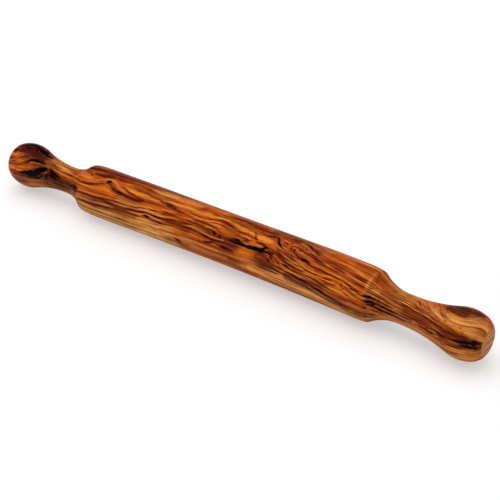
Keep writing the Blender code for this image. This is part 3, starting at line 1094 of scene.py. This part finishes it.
def between(chart, rows, columns):
    """The chart's values at fractional rows and columns; columns go round and meet."""
    low_row = rows.astype(int)
    low_column = columns.astype(int) % chart.shape[1]
    next_column = (low_column + 1) % chart.shape[1]
    row_share = rows - low_row
    column_share = columns - np.floor(columns)
    first = chart[low_row, low_column] * (1 - column_share)
    first = first + chart[low_row, next_column] * column_share
    second = chart[low_row + 1, low_column] * (1 - column_share)
    second = second + chart[low_row + 1, next_column] * column_share
    return first * (1 - row_share) + second * row_share


def widened(coarse):
    """A coarse chart at the fine chart's cells."""
    rows = np.clip(np.arange(len(chart_x)) / FLOW_BLOCK, 0, len(blocks_x) - CHART_INSIDE)
    columns = np.arange(CHART_ROUND) / FLOW_BLOCK
    return between(coarse, *np.meshgrid(rows, columns, indexing="ij"))


def on_surface(chart):
    """The chart's value at each vertex."""
    rows = np.clip((along - chart_x[0]) / CHART_ALONG, 0, len(chart_x) - CHART_INSIDE)
    return between(chart, rows, (degrees % 360) / cell_degrees)


angle = np.arctan2(widened(doubled[1]), widened(doubled[0])) / 2
run_x = np.cos(angle)
run_round = np.sin(angle)


def smeared(specks, reach, cells):
    """Specks averaged along the grain's run, reach millimetres each way, cells at a time."""
    specks = sum(np.roll(specks, shift, 0) for shift in range(cells)) / cells
    stride = cells * CHART_ALONG
    total = specks.copy()
    rows, columns = np.indices(specks.shape)
    for way in (1, -1):
        at_x = rows + HALF_CELL
        at_round = columns + HALF_CELL
        last_x, last_round = run_x * way, run_round * way
        for _ in range(int(reach / stride)):
            row = np.clip(at_x.astype(int), 0, len(chart_x) - 1)
            column = at_round.astype(int) % CHART_ROUND
            step_x = run_x[row, column]
            step_round = run_round[row, column]
            sign = np.where(step_x * last_x + step_round * last_round < 0, -1, 1)
            last_x, last_round = step_x * sign, step_round * sign
            at_x += last_x * stride / CHART_ALONG
            at_round += np.degrees(last_round * stride / chart_radius[row]) / cell_degrees
            row = np.clip(at_x.astype(int), 0, len(chart_x) - 1)
            total += specks[row, at_round.astype(int) % CHART_ROUND]
    return total


def softened(chart, passes):
    """The chart blurred across the grain."""
    for _ in range(passes):
        chart = (np.roll(chart, 1, 1) + 2 * chart + np.roll(chart, -1, 1)) / 4
    return chart


def evened(chart):
    """The chart spread evenly over 0 to 1 by rank."""
    order = np.argsort(np.argsort(chart, axis=None))
    return (order / chart.size).reshape(chart.shape)


def grain_turn():
    """How far each cell's grain has drifted round the pin, in radians, against its place.

    A least squares fit by Fourier series: followed along the grain's run, drift and place
    together stay the same, and round the pin the drift changes as little as it can.
    """
    slope = np.clip(np.tan(angle), -STEEPEST, STEEPEST) / chart_radius[:, None]
    spare = len(chart_x) // 2
    slope = np.pad(slope, ((spare, spare), (0, 0)))
    wave_x = math.tau * np.fft.fftfreq(len(slope), CHART_ALONG)[:, None]
    wave_round = math.tau * np.fft.fftfreq(CHART_ROUND, math.tau * GRAIN_RADIUS / CHART_ROUND)[None]
    stiffness = wave_x**2 + GRAIN_EASE * wave_round**2
    stiffness[0, 0] = 1
    drift = np.fft.ifft2(1j * wave_x * np.fft.fft2(slope) / stiffness).real
    return drift[spare : spare + len(chart_x)]


specks = chance.random((len(chart_x), CHART_ROUND))
for (name, passes, reach, cells), scattered in zip(SMEARS, (specks, specks[::-1], specks[::-1, ::-1])):
    fields[name] = on_surface(evened(smeared(softened(scattered, passes), reach, cells)))
for name, values in fields.items():
    layer = mesh.attributes.new(name, "FLOAT", "POINT")
    layer.data.foreach_set("value", values.astype(np.float32))

# Grain places: the pin as if its grain ran dead straight, so that a pattern read at them
# follows the veins.
turn = np.radians(degrees) + on_surface(grain_turn())
straight = np.stack([along, -np.sin(turn) * GRAIN_RADIUS, np.cos(turn) * GRAIN_RADIUS], 1) / MM
layer = mesh.attributes.new("grain", "FLOAT_VECTOR", "POINT")
layer.data.foreach_set("vector", straight.astype(np.float32).ravel())

# The blank has warped a little sideways as it dried: places along it, and how far each
# lies off the straight, counted away from the camera's side, all in millimetres.
BOW_PLACES = (
    (-240, -1.5),
    (-180, -1.6),
    (-120, -1.0),
    (-70, 0.2),
    (-20, 1.1),
    (40, 1.7),
    (90, 1.8),
    (125, 1.1),
    (160, -0.6),
    (200, -2.0),
    (240, -2.6),
)
bow = threaded(BOW_PLACES)
corners[:, 1] += np.interp(along, bow[:, 0], bow[:, 1]) / MM
mesh.vertices.foreach_set("co", corners.ravel())
mesh.update()


# Oiled wood: the streaks set the ground colour, patches tint it and the veins lie over
# all. Fibre noise frays the veins' edges and makes the fine relief.
def tint(red, green, blue):
    """A picture colour of 0 to 255 as the renderer's own colour, by the sRGB curve."""
    shares = (red / 255, green / 255, blue / 255)
    return (*[s / 12.92 if s < 0.04045 else ((s + 0.055) / 1.055) ** 2.4 for s in shares], 1)


# From the darkest streaks to the palest, in common wood and in tan wood.
GROUND_STOPS = (
    (0.00, tint(88, 16, 0)),
    (0.22, tint(126, 40, 0)),
    (0.46, tint(164, 66, 0)),
    (0.72, tint(196, 94, 8)),
    (1.00, tint(230, 134, 34)),
)
TAN_STOPS = (
    (0.00, tint(92, 38, 0)),
    (0.25, tint(140, 76, 16)),
    (0.50, tint(184, 117, 50)),
    (0.75, tint(214, 148, 74)),
    (1.00, tint(238, 180, 104)),
)
# Each patch's tint, how far it lifts the streaks under it, and its cover.
PATCH_TINTS = (
    ("orange", tint(208, 98, 10), 0.10, 0.55),
    ("plum", tint(58, 18, 4), -0.25, 0.65),
    # The dark tint also paints shade over the right shoulder's upper cove.
    ("dark", tint(52, 16, 2), -0.30, 0.55),
    # The pale tint also serves painted highlights on the top and on the right crease, and painted table
    # light on the underside.
    ("pale", tint(232, 168, 98), 0.22, 0.32),
)
# The same for pale veins, and how softly their edges fade, in millimetres.
LIGHT_TINTS = (
    ("gold", tint(228, 138, 30), 0.28, 0.40, 0.9),
    ("cream", tint(222, 146, 62), 0.24, 0.45, 0.5),
)
# A dark vein's tint, its halo's tint and cover, its own cover and its edge.
VEIN_TINTS = (
    ("brown", tint(114, 34, 0), tint(130, 46, 0), 0.10, 0.70, 0.32),
    ("maroon", tint(82, 7, 0), tint(112, 26, 0), 0.22, 0.92, 0.34),
    ("black", tint(10, 0, 0), tint(84, 8, 0), 0.60, 1.0, 0.34),
)
GRAIN_STRETCH = 0.045
# Noises: scale, detail and roughness.
STREAK_NOISE = (300.0, 4.0, 0.62)
LINE_NOISE = (1250.0, 0.0, 0.5)
FIBRE_NOISE = (900.0, 3.0, 0.6)
CLOUD_NOISE = (28.0, 2.0, 0.5)
# What makes the streaks, each by how far it swings them about their middle.
STREAK_WEIGHTS = {
    "fine": 0.26,
    "middle": 0.34,
    "broad": 0.22,
    "streaks": 0.90,
    "fibre": 0.30,
    "lines": 0.80,
    "cloud": 0.35,
}
STREAK_MIDDLE = 0.52
BUSY_LINE_WEIGHT = 1.20
FRAY = 2.2
PATCH_FRAY = 3.4
BROKEN_RANGE = (0.38, 0.62)
BROKEN_SHARE = 0.12
HALO_REACH = 0.9
GLOSS_IOR_LEVEL = 0.11
GLOSS_FIBRE_RANGE = (0.3, 0.7)
GLOSS_ROUGHNESS = (0.30, 0.42)
RELIEF_SHARE = 0.12
RELIEF_DEPTH = 0.0003


def blended(tree, below, above, share):
    """One colour over another by a linked share; above is a link or a plain colour."""
    made = joined(tree, "ShaderNodeMix", {"data_type": "RGBA"}, {"Factor": share})
    first, second = [socket for socket in made.inputs if socket.type == "RGBA"]
    tree.links.new(below, first)
    if isinstance(above, tuple):
        second.default_value = above
    else:
        tree.links.new(above, second)
    return [socket for socket in made.outputs if socket.type == "RGBA"][0]


def ranged(tree, value, from_low, from_high, to_low=0.0, to_high=1.0):
    """Value carried smoothly from one range to another; a limit is a link or a number."""
    limits = {"From Min": from_low, "From Max": from_high, "To Min": to_low, "To Max": to_high}
    settings = {"interpolation_type": "SMOOTHSTEP"}
    return joined(tree, "ShaderNodeMapRange", settings, {"Value": value, **limits}).outputs["Result"]


def ramped(tree, value, stops):
    """A colour ramp over the value."""
    made = joined(tree, "ShaderNodeValToRGB", inputs={"Fac": value})
    elements = made.color_ramp.elements
    elements[0].position, elements[0].color = stops[0]
    elements[1].position, elements[1].color = stops[-1]
    for position, colour in stops[1:-1]:
        elements.new(position).color = colour
    return made.outputs["Color"]


def noise_of(tree, places, scale, detail, roughness):
    """A Noise texture's value at the places."""
    inputs = {"Vector": places, "Scale": scale, "Detail": detail, "Roughness": roughness}
    return joined(tree, "ShaderNodeTexNoise", inputs=inputs).outputs[0]


def scaled(tree, places, scales):
    """The places, stretched or squeezed along each axis."""
    return joined(tree, "ShaderNodeMapping", inputs={"Vector": places, "Scale": scales}).outputs[0]


tree = oiled_wood.node_tree
shader = tree.nodes["Principled BSDF"]
read = {
    name: joined(tree, "ShaderNodeAttribute", {"attribute_name": name}).outputs["Fac"]
    for name in fields
}
place = joined(tree, "ShaderNodeTexCoord").outputs["Object"]
grain = joined(tree, "ShaderNodeAttribute", {"attribute_name": "grain"}).outputs["Vector"]
long_grain = scaled(tree, grain, (GRAIN_STRETCH, 1, 1))
read["streaks"] = noise_of(tree, long_grain, *STREAK_NOISE)
read["lines"] = noise_of(tree, long_grain, *LINE_NOISE)
read["fibre"] = noise_of(tree, scaled(tree, place, (GRAIN_STRETCH, 1, 1)), *FIBRE_NOISE)
read["cloud"] = noise_of(tree, place, *CLOUD_NOISE)

swings = {name: math_of(tree, "SUBTRACT", read[name], NOISE_MIDDLE) for name in STREAK_WEIGHTS}
weights = dict(STREAK_WEIGHTS)
weights["lines"] = math_of(tree, "MULTIPLY_ADD", read["busy"], BUSY_LINE_WEIGHT, weights["lines"])
streak = STREAK_MIDDLE
for name, weight in weights.items():
    streak = math_of(tree, "MULTIPLY_ADD", swings[name], weight, streak)
frayed = math_of(tree, "MULTIPLY_ADD", swings["streaks"], PATCH_FRAY, 1)
fray = math_of(tree, "MULTIPLY", math_of(tree, "ADD", swings["streaks"], swings["fibre"]), FRAY)
tinted = []
for name, patch_tint, lift, cover in PATCH_TINTS:
    share = math_of(tree, "MULTIPLY", read[name], frayed, clamp=True)
    streak = math_of(tree, "MULTIPLY_ADD", share, lift, streak)
    tinted.append((patch_tint, math_of(tree, "MULTIPLY", share, cover)))
for name, light_tint, lift, cover, edge in LIGHT_TINTS:
    share = ranged(tree, math_of(tree, "ADD", read[name], fray), -edge, edge)
    streak = math_of(tree, "MULTIPLY_ADD", share, lift, streak)
    broken = ranged(tree, read["streaks"], *BROKEN_RANGE, BROKEN_SHARE * cover, cover)
    tinted.append((light_tint, math_of(tree, "MULTIPLY", share, broken)))
colour = ramped(tree, streak, GROUND_STOPS)
tan_share = math_of(tree, "MULTIPLY", read["tan"], frayed, clamp=True)
colour = blended(tree, colour, ramped(tree, streak, TAN_STOPS), tan_share)
for patch_tint, share in tinted:
    colour = blended(tree, colour, patch_tint, share)
for name, vein_tint, halo_tint, halo_share, cover, edge in VEIN_TINTS:
    depth = math_of(tree, "SUBTRACT", read[name], fray)
    halo = ranged(tree, depth, -HALO_REACH, 0.0, 0.0, halo_share)
    colour = blended(tree, colour, halo_tint, halo)
    colour = blended(tree, colour, vein_tint, ranged(tree, depth, -edge, edge, 0.0, cover))
tree.links.new(colour, shader.inputs["Base Color"])
shader.inputs["Specular IOR Level"].default_value = GLOSS_IOR_LEVEL

rough = ranged(tree, read["fibre"], *GLOSS_FIBRE_RANGE, *GLOSS_ROUGHNESS)
tree.links.new(rough, shader.inputs["Roughness"])
relief = joined(
    tree,
    "ShaderNodeBump",
    inputs={"Height": read["fibre"], "Strength": RELIEF_SHARE, "Distance": RELIEF_DEPTH},
)
tree.links.new(relief.outputs["Normal"], shader.inputs["Normal"])

# Bare end: oiled skin sanded away, so the pale end grain shows, with reddish pores and
# growth rings in arcs.
RING_STOPS = ((0.0, tint(162, 90, 36)), (1.0, tint(212, 136, 68)))
RING_SCALE = 60.0
RING_DISTORTION = 6.0
RING_DETAIL = 2.0
PORE_TINT = tint(130, 54, 30)
PORE_NOISE = (700.0, 2.0, 0.5)
PORE_RANGE = (0.56, 0.68)
PORE_SHARE = 0.7
END_ROUGHNESS = 0.6

tree = bare_end.node_tree
shader = tree.nodes["Principled BSDF"]
place = joined(tree, "ShaderNodeTexCoord").outputs["Object"]
flattened = scaled(tree, place, (0, 1, 1))
rings = joined(
    tree,
    "ShaderNodeTexWave",
    {"wave_type": "RINGS", "rings_direction": "X"},
    {"Vector": flattened, "Scale": RING_SCALE, "Distortion": RING_DISTORTION, "Detail": RING_DETAIL},
)
pores = ranged(tree, noise_of(tree, flattened, *PORE_NOISE), *PORE_RANGE, 0.0, PORE_SHARE)
colour = blended(tree, ramped(tree, rings.outputs["Fac"], RING_STOPS), PORE_TINT, pores)
tree.links.new(colour, shader.inputs["Base Color"])
shader.inputs["Roughness"].default_value = END_ROUGHNESS

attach(pin, "root")
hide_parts("rolling_pin")
